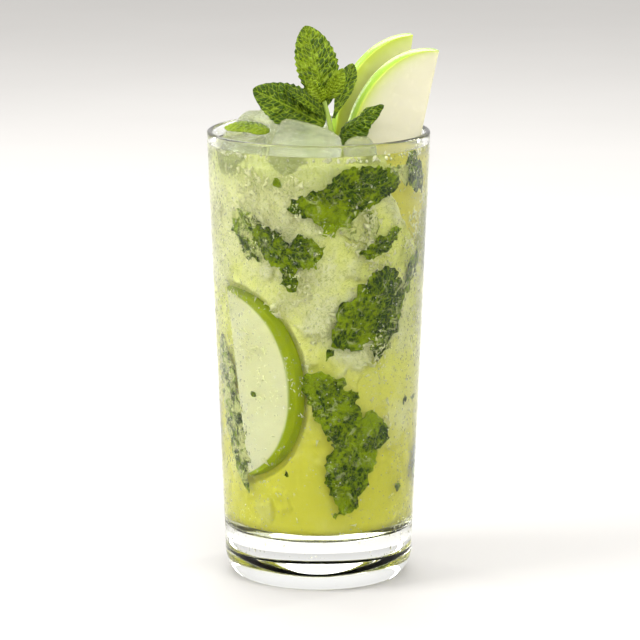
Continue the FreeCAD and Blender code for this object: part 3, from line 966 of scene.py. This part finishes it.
# specks of leaf against the wall, as the sunk leaves
leafBits = {
    "chip": sunkLeaf((-24.5, 140.5), (-22, 137.5), 2.6, 0.4, tone=1.0),
    "onSlice": sunkLeaf((-44.5, 66.5), (-42, 67.5), 1.8, 0.4, tone=0.0),
    "right": sunkLeaf((62, 64), (60.5, 61), 1.8, 0.5, tone=0.1),
    "edge": sunkLeaf((75, 63.5), (71, 61.5), 3.0, 0.5, tone=0.0),
    "low": sunkLeaf((-20.5, 40.5), (-18, 39.8), 1.2, 0.5, tone=0.3),
    "twig": sunkLeaf((13, 28.5), (11.5, 24.5), 0.9, 0.4, tone=0.0),
    "lowRight": sunkLeaf((60, 33), (57, 31.5), 1.8, 0.5, tone=0.2),
    "nearLeaf": sunkLeaf((8, 83), (4, 80), 1.6, 0.6, tone=0.2),
    "back": sunkLeaf((176, 112), (179, 109), 2.4, 0.5, tone=0.5),
    "backLow": sunkLeaf((215, 30), (219, 28.5), 1.8, 0.5, tone=0.1),
}
dewLook = {
    "radius": (0.09, 0.46),      # millimetres, smallest and largest bead
    "count": 6500,               # beads in each field, which run between these heights
    "fields": {"dewLower": (9.5, 60.0), "dewMiddle": (60.0, 104.0), "dewUpper": (104.0, 149.5)},
}
frostLook = {"count": 3600, "size": (0.35, 1.9)}   # millimetres, from a splinter's middle to its end
bubbleLook = {"count": 2000, "radius": (0.10, 0.34), "foam": 210, "foamRadius": (0.25, 0.65)}


# one template mesh put at many places: each copy is stretched by its three scales along its three directions
def joinedCopies(template, faceSets, centres, scales, directions):
    points = centres[:, None, :] + np.einsum("nk,mk,mkj->mnj", template, scales, directions)
    step = np.arange(len(centres))[:, None, None] * len(template)
    return points.reshape(-1, 3), [(faces[None] + step).reshape(-1, faces.shape[1]) for faces in faceSets]


# the places with the smallest chance number for how crowded it is there
def crowdedPlaces(rng, crowding, count):
    return np.argsort(rng.uniform(0, 1, len(crowding)) / crowding)[:count]


# round the glass, up it and out of its wall, for points at these angles from +X
def wallDirections(angle, slope):
    flat = np.zeros_like(angle)
    along = np.stack([-np.sin(angle), np.cos(angle), flat], axis=-1)
    out = unit(np.stack([np.cos(angle), np.sin(angle), flat - slope], axis=-1))
    return np.stack([along, np.cross(out, along), out], axis=1)


def water(name, ior, clear, tint):
    return Finish(name, Roughness=0.05, IOR=ior, Transmission_Weight=clear, Base_Color=tint).material


# a bead is a low dome: a foot ring a little inside the glass, a wider shoulder ring and its top
def makeDew():
    look = dewLook
    sides = 7
    turn = fullTurn(sides)
    ring = np.stack([np.cos(turn), np.sin(turn), 0 * turn], axis=1)
    template = np.vstack([ring + [0, 0, -0.12], 0.80 * ring + [0, 0, 0.34], [[0, 0, -0.12], [0, 0, 0.52]]])
    faces = ballFaces(2, sides)
    dew = water("dew", 1.13, 0.9, colour(1, 1, 0.86))
    count = look["count"]
    for seed, (name, (low, high)) in enumerate(look["fields"].items()):
        rng = np.random.default_rng(70 + seed)
        angle = rng.uniform(0, 2 * math.pi, 3 * count)
        height = rng.uniform(low, high, 3 * count)
        # least at the front and the back, most at the sides
        crowding = 0.10 + 0.25 * unevenness(roundPlace(35, angle, height), 77, 40.0, 5.0)
        crowding = crowding + 0.9 * smoothStep(np.abs(np.cos(angle)), 0.5, 0.95)
        crowding = crowding - 0.15 * np.cos(angle)
        chosen = crowdedPlaces(rng, np.clip(crowding, 0.08, None), count)
        angle, height = angle[chosen], height[chosen]
        smallest, largest = look["radius"]
        radius = smallest + (largest - smallest) * rng.uniform(0, 1, count) ** 6
        stretch = 1 + rng.uniform(-0.15, 0.25, count) + 0.35 * (radius > 0.42)
        directions = wallDirections(angle, wallSlope())
        centres = roundPlace(outsideRadius(height * mm) / mm, angle, height)
        scales = np.stack([radius, radius * stretch, radius * rng.uniform(0.3, 0.6, count)], axis=-1)
        points, faceSets = joinedCopies(template, faces, centres, scales, directions)
        makePiece(name, points * mm, faceSets, dew)
    print("dew: beads of water on the outside")


# small round bubbles against the wall, most of them near the floor and in patches, and a ring of foam where
# the surface meets the wall
def makeBubbles():
    look = bubbleLook
    rng = np.random.default_rng(55)
    low, high = glassShape["baseThickness"] / mm, drinkLook["level"] / mm
    template = np.vstack([sphereGrid(3, 7).reshape(-1, 3), [[0, 0, 1], [0, 0, -1]]])
    many = 4 * look["count"]
    angle = rng.uniform(0, 2 * math.pi, many)
    height = low + 1.5 + (high - low - 3) * rng.uniform(0, 1, many) ** 1.1
    crowding = 0.35 + 0.6 * unevenness(roundPlace(33, angle, height), 90, 30.0, 4.0)
    crowding = crowding + 1.2 * np.exp(-(height - low) / 5)
    chosen = crowdedPlaces(rng, np.clip(crowding, 0.02, None), look["count"])
    foamAngle = rng.uniform(0, 2 * math.pi, look["foam"])
    angle = np.append(angle[chosen], foamAngle)
    height = np.append(height[chosen], high + rng.uniform(-0.9, 0.5, look["foam"]))
    small, large = look["radius"]
    foamSmall, foamLarge = look["foamRadius"]
    radius = np.append(
        small + (large - small) * rng.uniform(0, 1, look["count"]) ** 3,
        foamSmall + (foamLarge - foamSmall) * rng.uniform(0, 1, look["foam"]) ** 2,
    )
    centres = roundPlace(insideRadius(height * mm) / mm - radius - 0.1, angle, height)
    scales = np.repeat(radius[:, None], 3, axis=1)
    points, faceSets = joinedCopies(template, ballFaces(3, 7), centres, scales, wallDirections(angle, 0.0))
    bubble = water("bubble", 1.4, 0.2, colour(1, 1, 0.7))
    makePiece("bubbles", points * mm, faceSets, bubble)
    print("drink: bubbles and foam")


# splinters and crumbs of ice near the wall, in drifts: each is a thin crooked lens lying roughly along it
def makeFrost():
    look = frostLook
    rng = np.random.default_rng(91)
    low, high = glassShape["baseThickness"] / mm, drinkLook["level"] / mm
    turn = fullTurn(6)
    rim = np.stack([np.cos(turn), np.sin(turn), 0.3 * np.sin(2 * turn)], axis=1)
    rim = rim * (0.75 + 0.25 * np.cos(3 * turn))[:, None]
    template = np.vstack([rim, 0.45 * rim + [0.1, 0, 0.8], [[0, 0, -0.5], [0.1, 0, 0.9]]])
    many = 5 * look["count"]
    angle = rng.uniform(0, 2 * math.pi, many)
    height = low + 4 + (high - low - 8) * rng.uniform(0, 1, many) ** 0.6
    drift = unevenness(roundPlace(33, angle, height), 92, 34.0, 6.0)
    crowding = np.clip(drift + 0.05, 0, None) ** 1.5 * smoothStep(height, 45, 95) + 0.002
    chosen = crowdedPlaces(rng, crowding, look["count"])
    angle, height = angle[chosen], height[chosen]
    small, large = look["size"]
    size = small + (large - small) * rng.uniform(0, 1, look["count"]) ** 3
    depth = rng.uniform(0.45, 1.8, look["count"]) + size * 0.3
    centres = roundPlace(insideRadius(height * mm) / mm - depth, angle, height)
    directions = wallDirections(angle, 0.0) + rng.normal(0, 0.25, (look["count"], 3, 3))
    spin = rng.uniform(0, 2 * math.pi, look["count"])[:, None]
    first, second = directions[:, 0].copy(), directions[:, 1].copy()
    directions[:, 0] = first * np.cos(spin) + second * np.sin(spin)
    directions[:, 1] = second * np.cos(spin) - first * np.sin(spin)
    scales = np.stack([size, size * rng.uniform(0.3, 0.8, look["count"]), size * 0.3], axis=-1)
    points, faceSets = joinedCopies(template, ballFaces(2, 6), centres, scales, directions)
    frost = Finish("frost", Roughness=0.3, Base_Color=colour(1.0, 1.0, 0.62))
    makePiece("frost", points * mm, faceSets, frost.material)
    print("ice: splinters in the drink")


def makeBits(leafMaterial):
    for seed, (name, bit) in enumerate(leafBits.items(), 61):
        bit["seed"] = seed
        makeLeaf("mintBit_" + name, sunkLeafPoints(bit, rows=36, columns=15), leafMaterial)
    print("mint: bits")


# ------- floor, lights, camera -------

stageLook = {
    "floorHalf": 6.0,
    "horizon": colour(0.60, 0.59, 0.58),
    "above": colour(1.05, 1.04, 1.03),
    "strength": 1.25,
}
view = {"lens": 205.2, "shift": 0.0022, "place": (0, -1.2117, 0.3324), "down": 0.2}


def makeStage():
    size = stageLook["floorHalf"]
    points = np.array([[-size, -size, 0], [size, -size, 0], [size, size * 6, 0], [-size, size * 6, 0]])
    finish = Finish("paleFloor", Roughness=0.75, Specular_IOR_Level=0.2)
    grain = finish.noise(finish.place(), 6.0, 3.0)
    finish.join(finish.mix(grain, colour(0.45, 0.44, 0.425), colour(0.48, 0.47, 0.455)), "Base Color")
    mesh = bpy.data.meshes.new("floor")
    mesh.from_pydata(points.tolist(), [], [(0, 1, 2, 3)])
    mesh.materials.append(finish.material)
    addObject("floor", mesh)


lamps = {
    "keyLight": {"place": (-0.95, -0.30, 0.55), "size": (0.55, 0.9), "power": 16.5},
    "frontFill": {"place": (0.50, -1.00, 0.70), "size": (1.0, 0.6), "power": 14.0},
    "rightStrip": {"place": (0.80, 0.52, 0.30), "size": (0.10, 0.9), "power": 5.0},
    "leftStrip": {"place": (-0.70, 0.66, 0.30), "size": (0.10, 0.9), "power": 3.0},
    "backLight": {"place": (-0.1, 1.0, 0.9), "size": (0.9, 0.5), "power": 7.0},
}


# each lamp looks at the middle of the glass: the tilt from straight down and the turn about the upright
def makeLights():
    aim = np.array([0, 0, 0.09])
    for name, lamp in lamps.items():
        light = bpy.data.lights.new(name, "AREA")
        light.shape = "RECTANGLE"
        light.size, light.size_y = lamp["size"]
        light.energy = lamp["power"]
        holder = addObject(name, light)
        holder.location = lamp["place"]
        direction = unit(aim - np.array(lamp["place"]))
        tilt = math.acos(-direction[2])
        holder.rotation_euler = (tilt, 0, math.atan2(-direction[0], direction[1]))
    world = bpy.data.worlds.new("softRoom")
    bpy.context.scene.world = world
    world.use_nodes = True
    tree = world.node_tree
    sky = tree.nodes["Background"]
    direction = addNode(tree, "TexCoord").outputs["Generated"]
    upward = addNode(tree, "SeparateXYZ", {0: direction}).outputs["Z"]
    rise = addNode(tree, "MapRange", {0: upward, 1: 0.0, 2: 0.7}).outputs[0]
    tints = {0: rise, 6: stageLook["horizon"], 7: stageLook["above"]}
    shade = addNode(tree, "Mix", tints, data_type="RGBA").outputs[2]
    tree.links.new(shade, sky.inputs["Color"])
    sky.inputs["Strength"].default_value = stageLook["strength"]


def makeCamera():
    lens = bpy.data.cameras.new("camera")
    lens.sensor_width = 36.0
    lens.lens = view["lens"]
    lens.shift_x = view["shift"]
    lens.clip_end = 50.0
    camera = addObject("camera", lens)
    camera.location = view["place"]
    camera.rotation_euler = (math.pi / 2 - view["down"], 0, 0)
    bpy.context.scene.camera = camera


def setLook():
    scene = bpy.context.scene
    scene.view_settings.view_transform = "Standard"
    scene.cycles.max_bounces = 28
    scene.cycles.transmission_bounces = 24
    scene.cycles.diffuse_bounces = 5
    scene.cycles.glossy_bounces = 8


makeGlass()
makeLiquid()
makeIce()
slicesSunk = makeApple()
makeSprig()
leavesSunk = makeSunkLeaves()
makeCore(np.vstack([slicesSunk, leavesSunk]))
makeBubbles()
makeFrost()
makeDew()
makeStage()
makeLights()
makeCamera()
setLook()
